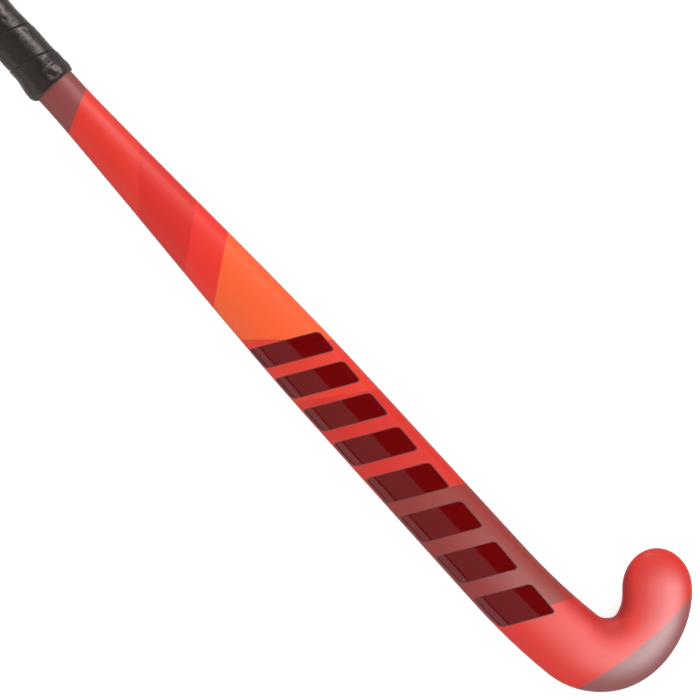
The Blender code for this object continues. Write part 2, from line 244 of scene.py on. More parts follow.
def ring(distance, shares, inset=0.0, nose=0.0):
    """Points round the stick, sunk by inset. Nose is 0 at the toe's last full section and 1 at its tip."""
    half, thickness, side, edge, crown = section_at(distance)
    half -= inset
    edge_share = (edge - inset) / half
    flat = 1 - edge_share
    turn = np.cos(math.tau * shares)
    over_back = -np.sign(turn) * np.abs(turn) ** (2 / crown)
    part = 2 * shares - 1
    mirrored = np.minimum(part, 1 - part)
    corner = flat + edge_share * np.cos(math.pi / 2 * mirrored / CORNER_SHARE)
    under = flat * (1 - 2 * part) / (1 - 2 * CORNER_SHARE)
    under = np.where(mirrored < CORNER_SHARE, np.copysign(corner, 0.5 - part), under)
    aside = np.where(shares < 0.5, over_back, under) * math.sqrt(1 - nose**2)
    out = np.minimum(np.hypot(nose, aside), 1.0)
    crowned = side + (thickness - side - inset) * (1 - out**crown) ** (1 / crown)
    rounded = np.maximum(out - 1 + edge_share, 0.0) / edge_share
    faced = side - (side - inset) * np.sqrt(np.maximum(1 - rounded**2, 0.0))
    along, across, heading = head_spine(distance - HEAD_START)
    forward = nose * (TOE_ROUND - inset)
    return bowed(
        along + HEAD_START + forward * math.cos(heading) - half * aside * math.sin(heading),
        across + forward * math.sin(heading) + half * aside * math.cos(heading),
        np.where(shares < 0.5, crowned, faced),
    )


# %% [markdown]
# ## The painted laminate
# On the real stick this is one moulding: carbon and glass fibre pressed round foam, then sprayed and
# lacquered. A loft of rings suits it, because every section differs a little from the next. The chain of
# rings runs from the toe back through the hollow to the open butt and forward again over the outside, which
# makes one closed skin with a real wall. Two numbers are kept at each point for the paint: whether it is on
# the back, and how near the stick's edge it is.


# %% Lofted skin
SHARP_EDGE = 35.0  # degrees
SAME_POINT = 1e-7


def loft(name, rings, attributes=None):
    """A smooth mesh through rings of as many points each. An end ring that isn't a point is filled."""
    bm = bmesh.new()
    layers = {key: bm.verts.layers.float.new(key) for key in attributes or {}}
    loops = []
    for i, points in enumerate(rings):
        loops.append([bm.verts.new(point) for point in points])
        for key, layer in layers.items():
            for vertex, value in zip(loops[-1], attributes[key][i]):
                vertex[layer] = value
    count = len(loops[0])
    for first, second in zip(loops, loops[1:]):
        for k in range(count):
            after = (k + 1) % count
            bm.faces.new((first[k], first[after], second[after], second[k]))
    for end in (0, -1):
        if np.ptp(rings[end], axis=0).max() > 10 * SAME_POINT:
            bm.faces.new(loops[end])
    bmesh.ops.remove_doubles(bm, verts=bm.verts, dist=SAME_POINT)
    bmesh.ops.recalc_face_normals(bm, faces=bm.faces)
    mesh = bpy.data.meshes.new(name)
    bm.to_mesh(mesh)
    bm.free()
    mesh.shade_smooth()
    mesh.set_sharp_from_angle(angle=math.radians(SHARP_EDGE))
    piece = bpy.data.objects.new(name, mesh)
    scene.collection.objects.link(piece)
    print(f"{name}: {sum(len(face.vertices) - 2 for face in mesh.polygons)} triangles")
    return piece


def stations(shaft_step, bend_step, nose_steps, least=4):
    """(distance, nose) of the rings from the butt to the tip of the toe, with a least number for an arc."""
    places = list(np.linspace(CAP_END, HEAD_START, round((HEAD_START - CAP_END) / shaft_step) + 1))
    bends = (0, LEAD_END, HEEL_END, TOE_LINE)
    for (angle, _), first, last in zip(ARCS, bends, bends[1:]):
        count = max(least, math.ceil(angle / bend_step))
        places += [HEAD_START + first + (last - first) * i / count for i in range(1, count + 1)]
    tip = [math.sin(math.pi / 2 * i / nose_steps) for i in range(1, nose_steps + 1)]
    return [(place, 0.0) for place in places] + [(places[-1], nose) for nose in tip]


# %% The moulding's wall and edge
SHARES = outline(over_back=80, round_edge=16, over_face=8)
EDGE_REACH = 0.0024


def wall_at(distance):
    """Thickness of the wall at a distance from the butt."""
    return smooth_through(((-HEAD_CORE_LENGTH, SHAFT_WALL), (0, HEAD_WALL)), distance - HEAD_START)


def edge_share_at(distance, nose):
    """How near each point of a ring is to the edge, seen from above: 1 on it, 0 from the reach inwards."""
    half, _, _, _, crown = section_at(distance)
    aside = np.abs(np.cos(math.tau * SHARES)) ** (2 / crown) * math.sqrt(1 - nose**2)
    return np.clip(1 - (1 - np.hypot(nose, aside)) * half / EDGE_REACH, 0, 1)


# %% Skin of the moulding
INSIDE = stations(shaft_step=0.020, bend_step=6.0, nose_steps=8)[::-1]
OUTSIDE = stations(shaft_step=0.004, bend_step=1.5, nose_steps=28)

rings = [ring(d, SHARES, wall_at(d), nose) for d, nose in INSIDE]
rings += [ring(d, SHARES, 0.0, nose) for d, nose in OUTSIDE]
no_paint = [np.zeros(len(SHARES))] * len(INSIDE)
painted_laminate = loft("painted_laminate", rings, {
    "back": no_paint + [np.where(SHARES < 0.5, 1.0, 0.0)] * len(OUTSIDE),
    "edge": no_paint + [edge_share_at(d, nose) for d, nose in OUTSIDE],
})

# %% [markdown]
# ## The wound grip
# A hockey grip is one strip of padded polyurethane, wound from the butt down with its edge on the turn
# before, and rolled in at the lower end. The shape follows a rule, so Geometry Nodes make it. A grid is one
# long strip: its rows are steps round the handle and its columns are points of the strip's section. Each grid
# point looks up its place on two small rings, the handle's outline and the strip's section, and a few
# formulas do the rest: the helix, the square cut at both ends, and the last turn, which bunches up before it
# rolls in.

# %% Sizes of the tape
TAPE_PITCH = 0.0237
TAPE_SEAM = 0.00045
TAPE_TIP = 0.004  # the strip thins out over this width at its pointed ends
TAPE_BACK_SHARE = 0.45  # part of the pitch that the seam covers on the back
TAPE_FLANGE = 0.0003  # thickness of the skived edge that runs under the next turn
GRIP_END = 0.3872  # the grip reaches this far along the stick
FLARE_LENGTH = 0.021
FLARE_LIP = 0.0045
FLARE_BLUNT_HEEL = 0.12  # share of the height that is left at the rolled end
FLARE_BLUNT_TOE = 0.5
FLARE_HEEL = 0.0019
FLARE_TOE = 0.0004
WAVER_AT = 0.19  # share of a turn where the seam lies nearest to the butt
CRUMPLES = (  # dents: distance from the lower edge, share of a turn, half length, half breadth, depth
    (0.0110, 0.390, 0.0040, 0.040, 0.00050),
    (0.0120, 0.330, 0.0020, 0.070, 0.00080),
    (0.0066, 0.335, 0.0010, 0.014, 0.00045),
    (0.0052, 0.290, 0.0024, 0.026, 0.00070),
    (0.0070, 0.275, 0.0016, 0.020, 0.00025),
    (0.0038, 0.300, 0.0012, 0.060, 0.00025),
    (0.0385, 0.365, 0.0012, 0.016, 0.00035),
    (0.0478, 0.345, 0.0010, 0.040, 0.00035),
    (0.0520, 0.300, 0.0018, 0.020, 0.00040),
    (0.0560, 0.380, 0.0014, 0.022, 0.00035),
    (0.0560, 0.500, 0.0150, 0.080, 0.00070),
)
QUIET = 0.25  # share of the last turn's wrinkles that the turns above it have
FOLD_SCALE = (130.0, 9.0, 1.0)  # wrinkles for each metre along the handle, and for each turn
DRIFT_SCALE = 1.3  # waves of the seam's slow drift in a turn
NOISE_LOW, NOISE_HIGH = 0.35, 0.65  # most values of a noise lie between these
STEPS_PER_TURN = 120
RUN_ON = 36 / STEPS_PER_TURN  # the winding runs on past the square cut, until nothing of the strip is left


def ring_object(name, points, outward=None):
    """A closed ring of points that a node tree reads by number."""
    mesh = bpy.data.meshes.new(name)
    mesh.from_pydata([tuple(p) for p in points], [], [])
    if outward is not None:
        attribute = mesh.attributes.new("outward", "FLOAT_VECTOR", "POINT")
        attribute.data.foreach_set("vector", np.asarray(outward, np.float32).ravel())
    return bpy.data.objects.new(name, mesh)


# %% Outline of the handle
half, thickness, side, edge, _ = section_at(GRIP_LENGTH / 2)
shares = np.arange(STEPS_PER_TURN) / STEPS_PER_TURN
handle = []
for share in shares:
    if share < 0.5:
        turn = math.tau * share
        handle.append((-half * math.cos(turn), side + (thickness - side) * math.sin(turn)))
    else:
        part = 2 * share - 1
        near = min(part, 1 - part)
        turn = math.pi / 2 * min(near / CORNER_SHARE, 1.0)
        reach = half - edge + edge * math.cos(turn)
        if near > CORNER_SHARE:
            reach = (half - edge) * (1 - 2 * near) / (1 - 2 * CORNER_SHARE)
        handle.append((math.copysign(reach, 0.5 - part), side - side * math.sin(turn)))
handle = np.array(handle)
chord = np.roll(handle, -1, axis=0) - np.roll(handle, 1, axis=0)
outward = np.stack([-chord[:, 1], chord[:, 0]], axis=1) / np.linalg.norm(chord, axis=1)[:, None]
zeros = np.zeros((STEPS_PER_TURN, 1))
handle_outline = ring_object("handle_outline", np.hstack([zeros, handle]), np.hstack([zeros, outward]))
round_handle = np.linalg.norm(chord, axis=1).sum() / 2
print(f"once round the handle: {round_handle * 1000:.1f} mm")

# %% Section of the strip
# X is the share of the strip's width and Z its height. The butt-side edge is the thicker one, because it lies
# on the turn before. Both edges are rolled over, and a thin skived flange runs on under the next turn.
TOP_POINTS = 30
EDGE_ROLL = 0.026  # share of the width
EDGE_BEAD = 0.00005  # the rolled edges stand up a little
BEAD_SPREAD = 0.05
PLUMP = 0.00012  # the foam under the film crowns the strip
FLANGE_GAP = 0.00003
strip_width = TAPE_PITCH - TAPE_SEAM
across = 0.5 - 0.5 * np.cos(np.linspace(0, math.pi, TOP_POINTS))
from_edge = np.minimum(across, 1 - across)
rolled = np.clip(from_edge / EDGE_ROLL, 0, 1)
rise = np.sqrt(1 - (1 - rolled) ** 2)
bead = EDGE_BEAD * np.exp(-(((from_edge - EDGE_ROLL) / BEAD_SPREAD) ** 2))
plump = PLUMP * np.sin(math.pi * across)
height = (TAPE_THICKNESS + TAPE_LAP * (1 - across) ** 3 + plump + bead) * rise
flange = 1 + (TAPE_SEAM - FLANGE_GAP) / strip_width
under = np.linspace(1, 0, 5)[1:-1]
profile = [(x, 0, z) for x, z in zip(across[:-1], height[:-1])]
profile += [(1, 0, TAPE_FLANGE), (flange, 0, TAPE_FLANGE), (flange, 0, 0)] + [(x, 0, 0) for x in under]
strip_section = ring_object("strip_section", profile)
print(f"the strip is {strip_width * 1000:.1f} mm wide and drawn with {len(profile)} points")


# %% Helpers that add nodes
def fill(tree, node, inputs):
    """Fills a node's inputs, in order or by name, from a value, a socket or another node's first output."""
    for key, value in inputs.items() if isinstance(inputs, dict) else enumerate(inputs):
        if isinstance(value, bpy.types.Node):
            value = next(socket for socket in value.outputs if socket.enabled)
        if isinstance(value, bpy.types.NodeSocket):
            tree.links.new(value, node.inputs[key])
        else:
            node.inputs[key].default_value = value


def add(tree, kind, inputs=(), **settings):
    """Adds a node with its settings and inputs. "Math" is short for "ShaderNodeMath", and so on."""
    node = tree.nodes.new(kind if "Node" in kind else "ShaderNode" + kind)
    for name, value in settings.items():
        setattr(node, name, value)
    fill(tree, node, inputs)
    return node


# %% Node tree of the winding
tree = winding = bpy.data.node_groups.new("Winding", "GeometryNodeTree")
SPARE_TURN = 0.3  # for the drift of the seams
SIZES = {
    "Turns": (GRIP_END - CAP_END + TAPE_PITCH) / TAPE_PITCH + SPARE_TURN + RUN_ON,
    "Run-on": RUN_ON,
    "Pitch": TAPE_PITCH,
    "Seam": TAPE_SEAM,
    "Back share": TAPE_BACK_SHARE,
    "Upper edge": CAP_END,
    "Lower edge": GRIP_END,
    "Gap to handle": CLEARANCE,
    "Flare heel": FLARE_HEEL,
    "Flare toe": FLARE_TOE,
    "Wrinkle": 0.00030,
    "Shift": -0.0023,
    "Waver": -0.0011,
    "Unevenness": 0.0005,
    "Seed": 4.0,
}
SOCKETS = {
    **dict.fromkeys(SIZES, "Float"),
    "Steps per turn": "Int",
    "Handle outline": "Object",
    "Strip section": "Object",
    "Finish": "Material",
}
face = winding.interface
for name, kind in SOCKETS.items():
    face.new_socket(name, in_out="INPUT", socket_type="NodeSocket" + kind)
face.new_socket("Geometry", in_out="OUTPUT", socket_type="NodeSocketGeometry")
given = add(tree, "NodeGroupInput").outputs

# %% Rows and columns
# Each point's turn, counted back from the lower end, and its number in the strip's section.
columns = len(profile) + 1
rows = add(tree, "Math", [given["Turns"], given["Steps per turn"]], operation="MULTIPLY")
grid = add(tree, "GeometryNodeMeshGrid", {"Vertices X": rows, "Vertices Y": columns})
index = add(tree, "GeometryNodeInputIndex")
column = add(tree, "Math", [index, columns], operation="MODULO")
row = add(tree, "Math", [index, columns], operation="DIVIDE")
row = add(tree, "Math", [row], operation="FLOOR")
whole = add(tree, "Math", [rows], operation="FLOOR")
last = add(tree, "Math", [whole, 1.0], operation="SUBTRACT")
step = add(tree, "Math", [row, last], operation="SUBTRACT")
turns = add(tree, "Math", [step, given["Steps per turn"]], operation="DIVIDE")
turns = add(tree, "Math", [turns, given["Run-on"]], operation="ADD")
share = add(tree, "Math", [turns], operation="FRACT")

# %% Look the two rings up
number = add(tree, "Math", [share, given["Steps per turn"]], operation="MULTIPLY")
number = add(tree, "Math", [number], operation="ROUND")
number = add(tree, "Math", [number, given["Steps per turn"]], operation="MODULO")
place = add(tree, "GeometryNodeInputPosition")
outward_of = add(tree, "GeometryNodeInputNamedAttribute", {"Name": "outward"}, data_type="FLOAT_VECTOR")
outline_ring = add(tree, "GeometryNodeObjectInfo", {"Object": given["Handle outline"]})
section_ring = add(tree, "GeometryNodeObjectInfo", {"Object": given["Strip section"]})
in_section = add(tree, "Math", [column, columns - 1], operation="MODULO")
looked_up = []
for source, value, at in (
    (outline_ring, place, number),
    (outline_ring, outward_of, number),
    (section_ring, place, in_section),
):
    looked_up.append(add(tree, "GeometryNodeSampleIndex", {
        "Geometry": source.outputs["Geometry"], "Value": value, "Index": at,
    }, data_type="FLOAT_VECTOR"))
on_handle, away, in_strip = looked_up
strip = add(tree, "SeparateXYZ", [in_strip]).outputs

# %% The helix
# The seam moves on by a little less of the pitch over the back than under the face, and the strip is cut
# square at both ends of the grip. Seams waver once a turn, and no hand winds quite evenly, so a slow noise
# shifts them too. A turn ends where the next starts.
angle = add(tree, "Math", [share, math.tau], operation="MULTIPLY")
cosine = add(tree, "Math", [angle], operation="COSINE")
most = add(tree, "Math", [given["Back share"], -1.0, 0.5], operation="MULTIPLY_ADD")
ease = add(tree, "MapRange", {"Value": cosine, "From Min": 1.0, "From Max": -1.0, "To Max": most})
lagged = add(tree, "Math", [angle, math.tau * WAVER_AT], operation="SUBTRACT")
waver = add(tree, "Math", [lagged], operation="COSINE")
waver = add(tree, "Math", [waver, given["Waver"], given["Shift"]], operation="MULTIPLY_ADD")


def start_at(turns):
    """Node that gives where the strip starts along the handle at a turn."""
    drift = add(tree, "TexNoise", {"W": turns, "Scale": DRIFT_SCALE, "Detail": 0.0}, noise_dimensions="1D")
    drift = add(tree, "Math", [drift, 0.5], operation="SUBTRACT")
    drift = add(tree, "Math", [drift, given["Unevenness"], waver], operation="MULTIPLY_ADD")
    eased = add(tree, "Math", [turns, ease], operation="SUBTRACT")
    start = add(tree, "Math", [eased, given["Pitch"], given["Lower edge"]], operation="MULTIPLY_ADD")
    return add(tree, "Math", [start, drift], operation="ADD")


start = start_at(turns)
next_turn = add(tree, "Math", [turns, 1.0], operation="ADD")
end = add(tree, "Math", [start_at(next_turn), given["Seam"]], operation="SUBTRACT")
end = add(tree, "Math", [end, given["Lower edge"]], operation="MINIMUM")
end = add(tree, "Math", [end, given["Upper edge"]], operation="MAXIMUM")
start = add(tree, "Math", [start, given["Upper edge"]], operation="MAXIMUM")
start = add(tree, "Math", [start, end], operation="MINIMUM")
width = add(tree, "Math", [end, start], operation="SUBTRACT")
along = add(tree, "Math", [width, strip["X"], start], operation="MULTIPLY_ADD")
along = add(tree, "Math", [along, given["Lower edge"]], operation="MINIMUM")
thinned = add(tree, "MapRange", {"Value": width, "From Max": TAPE_TIP})
height = add(tree, "Math", [strip["Z"], thinned], operation="MULTIPLY")

# %% The last turn
# It bunches up, more on the heel side, wrinkles a little, and rolls in to the shaft.
to_end = add(tree, "Math", [given["Lower edge"], along], operation="SUBTRACT")
rise = add(tree, "MapRange", {
    "Value": to_end, "From Min": FLARE_LENGTH, "From Max": FLARE_LIP,
}, interpolation_type="SMOOTHSTEP")
inward = add(tree, "MapRange", {"Value": to_end, "From Max": FLARE_LIP, "To Min": 1.0, "To Max": 0.0})
inward = add(tree, "Math", [inward, inward], operation="MULTIPLY")
inward = add(tree, "Math", [1.0, inward], operation="SUBTRACT")
inward = add(tree, "Math", [inward, 0.5], operation="POWER")
blunt = add(tree, "MapRange", {
    "Value": cosine, "From Min": -1.0, "To Min": FLARE_BLUNT_TOE, "To Max": FLARE_BLUNT_HEEL,
})
fall = add(tree, "MapRange", {"Value": inward, "To Min": blunt})
heel = add(tree, "MapRange", {
    "Value": cosine, "From Min": -1.0, "To Min": given["Flare toe"], "To Max": given["Flare heel"],
})
bunched = add(tree, "Math", [rise, heel], operation="MULTIPLY")
spot = add(tree, "CombineXYZ", {"X": along, "Y": share})
spot = add(tree, "VectorMath", [spot, FOLD_SCALE], operation="MULTIPLY")
noise = add(tree, "TexNoise", {
    "Vector": spot, "W": given["Seed"], "Scale": 1.0, "Detail": 2.0,
}, noise_dimensions="4D")
crease = add(tree, "MapRange", {
    "Value": noise, "From Min": NOISE_LOW, "From Max": NOISE_HIGH, "To Min": -1.0,
}, clamp=False)
crease = add(tree, "Math", [crease, given["Wrinkle"]], operation="MULTIPLY")
quiet = add(tree, "Math", [rise, 1 - QUIET, QUIET], operation="MULTIPLY_ADD")
bunched = add(tree, "Math", [crease, quiet, bunched], operation="MULTIPLY_ADD")

# %% Dents
# Each is a soft round hollow at a listed place, stretched along the handle or round it.
for back, at, length, breadth, depth in CRUMPLES:
    near = add(tree, "Math", [to_end, 1 / length, -back / length], operation="MULTIPLY_ADD")
    beside = add(tree, "Math", [share, 1 / breadth, -at / breadth], operation="MULTIPLY_ADD")
    apart = add(tree, "CombineXYZ", {"X": near, "Y": beside})
    apart = add(tree, "VectorMath", [apart, apart], operation="DOT_PRODUCT")
    dent = add(tree, "Math", [math.exp(-1), apart], operation="POWER")
    bunched = add(tree, "Math", [dent, -depth, bunched], operation="MULTIPLY_ADD")
share_of_top = add(tree, "Math", [height, TAPE_THICKNESS], operation="DIVIDE")
height = add(tree, "Math", [bunched, share_of_top, height], operation="MULTIPLY_ADD")
height = add(tree, "Math", [height, fall], operation="MULTIPLY")
height = add(tree, "Math", [height, given["Gap to handle"]], operation="ADD")

# %% Put each point in its place
# The grid's first and last columns are merged into one closed skin.
lifted = add(tree, "VectorMath", {0: away, "Scale": height}, operation="SCALE")
placed = add(tree, "VectorMath", [on_handle, lifted], operation="ADD")
forward = add(tree, "CombineXYZ", {"X": along})
placed = add(tree, "VectorMath", [placed, forward], operation="ADD")
run = add(tree, "Math", [turns, round_handle], operation="MULTIPLY")
leather_spot = add(tree, "CombineXYZ", {"X": run, "Y": along, "Z": strip["X"]})
marked = add(tree, "GeometryNodeStoreNamedAttribute", {
    "Geometry": grid.outputs["Mesh"], "Name": "strip", "Value": leather_spot,
}, data_type="FLOAT_VECTOR", domain="POINT")
wound = add(tree, "GeometryNodeSetPosition", {"Geometry": marked, "Position": placed})
wound = add(tree, "GeometryNodeMergeByDistance", {"Geometry": wound, "Distance": 10 * SAME_POINT})
wound = add(tree, "GeometryNodeTransform", {
    "Geometry": wound, "Translation": ORIGIN, "Rotation": (0, -HANDLE_SLOPE, 0),
})
wound = add(tree, "GeometryNodeSetShadeSmooth", {"Geometry": wound})
wound = add(tree, "GeometryNodeRealizeInstances", {"Geometry": wound})
wound = add(tree, "GeometryNodeSetMaterial", {"Geometry": wound, "Material": given["Finish"]})
add(tree, "NodeGroupOutput", {"Geometry": wound})
print(f"the winding's tree has {len(winding.nodes)} nodes and {SIZES['Turns']:.2f} turns")

# %% [markdown]
# ## The grip's leather
# Hockey grips are polyurethane leather: a soft black film with a fine pressed grain over a thin foam. It
# shines softly, in a broken streak, and its edges and creases look darker. The grain is pressed at about half
# a millimetre, which is finer than a pixel here, so it is drawn coarser.


# %% Helpers for colours and materials
def linear(hex_colour):
    """The linear colour that Blender's shaders want, from an sRGB hex value."""
    channels = [int(hex_colour[i : i + 2], 16) / 255 for i in (1, 3, 5)]
    return (*(c / 12.92 if c <= 0.04045 else ((c + 0.055) / 1.055) ** 2.4 for c in channels), 1.0)


def finish(name):
    """A new material, its node tree and its shader."""
    material = bpy.data.materials.new(name)
    material.use_nodes = True
    return material, material.node_tree, material.node_tree.nodes["Principled BSDF"]


# %% Polyurethane leather
GRAIN = 0.0013
GRAIN_DEPTH = 0.00010
CLOUDS, DIMPLES = 60.0, 260.0  # in a metre: 17 mm and 4 mm apart
DIMPLE_DEPTH = 0.00022
FOLDS = (45.0, 190.0, 0.0)  # in a metre round the handle, and along it
FOLD_DEPTH = 0.0008

leather, tree, shader = finish("polyurethane_leather")
on_strip = add(tree, "Attribute", attribute_name="strip").outputs["Vector"]
spot = add(tree, "TexCoord").outputs["Object"]
cloud = add(tree, "TexNoise", {"Vector": spot, "Scale": CLOUDS, "Detail": 3.0})
tone = add(tree, "Mix", {"Factor": cloud, "A": linear("#1C1615"), "B": linear("#27201E")}, data_type="RGBA")
dull = add(tree, "MapRange", {
    "Value": cloud, "From Min": NOISE_LOW, "From Max": NOISE_HIGH, "To Min": 0.31, "To Max": 0.42,
})
cells = add(tree, "TexVoronoi", {"Vector": spot, "Scale": 1 / GRAIN}, feature="SMOOTH_F1")
stretched = add(tree, "VectorMath", [on_strip, FOLDS], operation="MULTIPLY")
bump = None
for height, depth in (
    (cells, GRAIN_DEPTH),
    (add(tree, "TexNoise", {"Vector": spot, "Scale": DIMPLES, "Detail": 2.0}), DIMPLE_DEPTH),
    (add(tree, "TexNoise", {"Vector": stretched, "Scale": 1.0, "Detail": 1.0}), FOLD_DEPTH),
):
    under = {"Normal": bump} if bump else {}
    bump = add(tree, "Bump", {"Height": height, "Strength": 1.0, "Distance": depth, **under})
fill(tree, shader, {
    "Base Color": tone,
    "Roughness": dull,
    "Normal": bump,
    "IOR": 1.5,
    "Specular Tint": linear("#FFF0EC"),
    "Sheen Weight": 0.5,
    "Sheen Roughness": 0.45,
    "Sheen Tint": linear("#FFF0E6"),
})
print(f"{leather.name}: grain of {GRAIN * 1000:.1f} mm")

# %% Wind the grip
holder = bpy.data.objects.new("grip_builder", bpy.data.meshes.new("grip_builder"))
scene.collection.objects.link(holder)
modifier = holder.modifiers.new("winding", "NODES")
modifier.node_group = winding
VALUES = {
    **SIZES,
    "Steps per turn": STEPS_PER_TURN,
    "Handle outline": handle_outline,
    "Strip section": strip_section,
    "Finish": leather,
}
for socket in face.items_tree:
    if socket.in_out == "INPUT":
        modifier[socket.identifier] = VALUES[socket.name]
evaluated = holder.evaluated_get(bpy.context.evaluated_depsgraph_get())
wound_grip = bpy.data.objects.new("wound_grip", bpy.data.meshes.new_from_object(evaluated))
scene.collection.objects.link(wound_grip)
bpy.data.objects.remove(holder)
bm = bmesh.new()
bm.from_mesh(wound_grip.data)
wires = [e for e in bm.edges if not e.link_faces]  # left over where the strip's two tips close
bmesh.ops.delete(bm, geom=wires, context="EDGES")
bmesh.ops.delete(bm, geom=[v for v in bm.verts if not v.link_faces], context="VERTS")
bm.to_mesh(wound_grip.data)
open_edges = sum(1 for e in bm.edges if not e.is_manifold)
print(f"wound_grip: {len(bm.faces)} faces, {open_edges} open edges, {bm.calc_volume() * 1e6:.1f} cm3")
bm.free()

# %% [markdown]
# ## The end cap
# The cap is moulded rubber: a disc with a rounded rim that covers the start of the tape, and a stem that is
# pushed into the handle's plug. It is lofted too, from rings that have the handle's outline on the disc and a
# circle on the stem.

# %% Cap
RIM_STEPS = 12
rim = -(TAPE_OUTSIDE + CAP_LIP)
cap_rings = []
for i in range(RIM_STEPS + 1):
    turn = math.pi / 2 * i / RIM_STEPS
    inset = rim + CAP_EDGE * (1 - math.sin(turn))
    cap_rings.append(ring(CAP_EDGE * (1 - math.cos(turn)), SHARES, inset))
cap_rings.append(ring(CAP_THICKNESS, SHARES, rim))
middle = section_at(0)[2]
spread = math.tau * SHARES
for place, radius in ((CAP_THICKNESS, STEM_RADIUS), (CAP_THICKNESS + STEM_LENGTH, STEM_RADIUS)):
    cap_rings.append(bowed(place, -radius * np.cos(spread), middle + radius * np.sin(spread)))
rubber_cap = loft("rubber_cap", cap_rings)

# %% [markdown]
# ## The paint
# The real finish is a satin lacquer over printed film. Diagonal bands of maroon, reds and orange run down the
# stick, and each edge looks straight from above, so the bands are placed by the distance along the stick and
# across it. A row of glossy bars is printed over them in the darkest red. They are a plain pattern of this
# model's own. Clear lacquer runs to the edges before it sets, so it is thicker and shinier there, and shows
# the floor as a dull line.

# %% Colour bands
AXIS_Y = ORIGIN.y
BUTT_X = ORIGIN.x
UNDER_GRIP = "#1C1817"  # a dark primer, which shows in the seams
BANDS = (  # place along the stick at its middle, slant of the edge, colour below it
    (0.3856, 0.0, "#95403D"),
    (0.4085, -0.50, "#E92813"),
    (0.4677, -1.10, "#E11B06"),
    (0.5170, -0.78, "#F32614"),
    (0.5459, -0.75, "#FF5D1E"),
    (0.6078, 0.91, "#EB3016"),
    (0.6566, 0.65, "#DE200E"),
    (0.7404, 0.61, "#A02F27"),
    (0.8442, 0.48, "#EA2210"),
)
BASE_COLOUR = "#9C5654"
BASE_LINE = 0.9092  # where the colour of the base starts
BASE_ARCH = 1.9  # per metre: how the line bends
BASE_ARCH_MIDDLE = 0.050  # across the stick, from the handle's axis
EDGE_BLUR = 0.00025
BAND_REACH = 0.032  # the bands end at the blade's toe edge, so none of them crosses the toe

paint, tree, shader = finish("satin_lacquer")
spot = add(tree, "TexCoord").outputs["Object"]
parts = add(tree, "SeparateXYZ", [spot]).outputs
along = add(tree, "Math", [parts["X"], BUTT_X], operation="SUBTRACT")
aside = add(tree, "Math", [parts["Y"], AXIS_Y], operation="SUBTRACT")
aside = add(tree, "Math", [aside, BAND_REACH], operation="MINIMUM")
lines = []
for place, slant, below in BANDS:
    line = add(tree, "Math", [aside, -slant, along], operation="MULTIPLY_ADD")
    lines.append((line, place, below))
across = add(tree, "Math", [parts["Y"], AXIS_Y + BASE_ARCH_MIDDLE], operation="SUBTRACT")
arch = add(tree, "Math", [across, across], operation="MULTIPLY")
arch = add(tree, "Math", [arch, BASE_ARCH, along], operation="MULTIPLY_ADD")
lines.append((arch, BASE_LINE, BASE_COLOUR))

colour = linear(UNDER_GRIP)
for line, place, below in lines:
    mask = add(tree, "MapRange", {
        "Value": line, "From Min": place - EDGE_BLUR, "From Max": place + EDGE_BLUR,
    })
    colour = add(tree, "Mix", {"Factor": mask, "A": colour, "B": linear(below)}, data_type="RGBA")
print(f"{paint.name}: {len(lines) + 1} colours down the stick")

# %% Painted shade inside the hook
# Painted shade: a deeper red stands for the shade round the inside of the hook, strongest on the toe's side of
# the gap, and very lightly over the toe to darken it.
PAINTED_SHADES = (  # two points along and across the stick, full within this distance, gone at this one, strength
    ((0.8748, 0.0420, 0.0), (0.8596, 0.0541, 0.0), 0.0086, 0.0190, 1.0),
    ((0.8560, 0.0290, 0.0), (0.8845, 0.0335, 0.0), 0.0060, 0.0140, 0.55),
    ((0.8990, 0.0700, 0.0), (0.8740, 0.0820, 0.0), 0.0120, 0.0300, 0.22),
)
flat = add(tree, "VectorMath", [spot, (1.0, 1.0, 0.0)], operation="MULTIPLY")
painted_shade = 0.0
for shade_from, shade_to, core, reach, strength in PAINTED_SHADES:
    run = Vector(shade_to) - Vector(shade_from)
    start_spot = Vector((BUTT_X, AXIS_Y, 0.0)) + Vector(shade_from)
    from_start = add(tree, "VectorMath", [flat, start_spot], operation="SUBTRACT")
    part = add(tree, "VectorMath", [from_start, run], operation="DOT_PRODUCT")
    part = add(tree, "MapRange", {"Value": part, "From Max": run.length_squared})
    nearest = add(tree, "VectorMath", {0: run, "Scale": part}, operation="SCALE")
    away = add(tree, "VectorMath", [from_start, nearest], operation="DISTANCE")
    painted_shade_amount = add(tree, "MapRange", {
        "Value": away, "From Min": reach, "From Max": core, "To Max": strength,
    }, interpolation_type="SMOOTHSTEP")
    painted_shade = add(tree, "Math", [painted_shade, painted_shade_amount], operation="MAXIMUM")
# Each of these soft sprays of deeper red is painted shade.
print(f"{len(PAINTED_SHADES)} soft sprays of deeper red")

# %% Glossy bars
# Each point finds the number of its bar from the distance along the row, and then how deep inside that bar's
# rounded outline it lies.
BAR_START = 0.604  # along the stick
BAR_PITCH = 0.0240
BAR_GROWTH = 0.0019  # each pitch is this much longer than the last
BAR_COUNT = 8
BAR_FILL = 0.68
BAR_SLANT = 0.52
BAR_HEEL = -0.0228  # across the stick from its middle
BAR_TOE = 0.0200
BAR_TAPER = 0.036  # how much the toe ends draw in along the row
BAR_CORNER = 0.0030
BAR_RIM = 0.0006

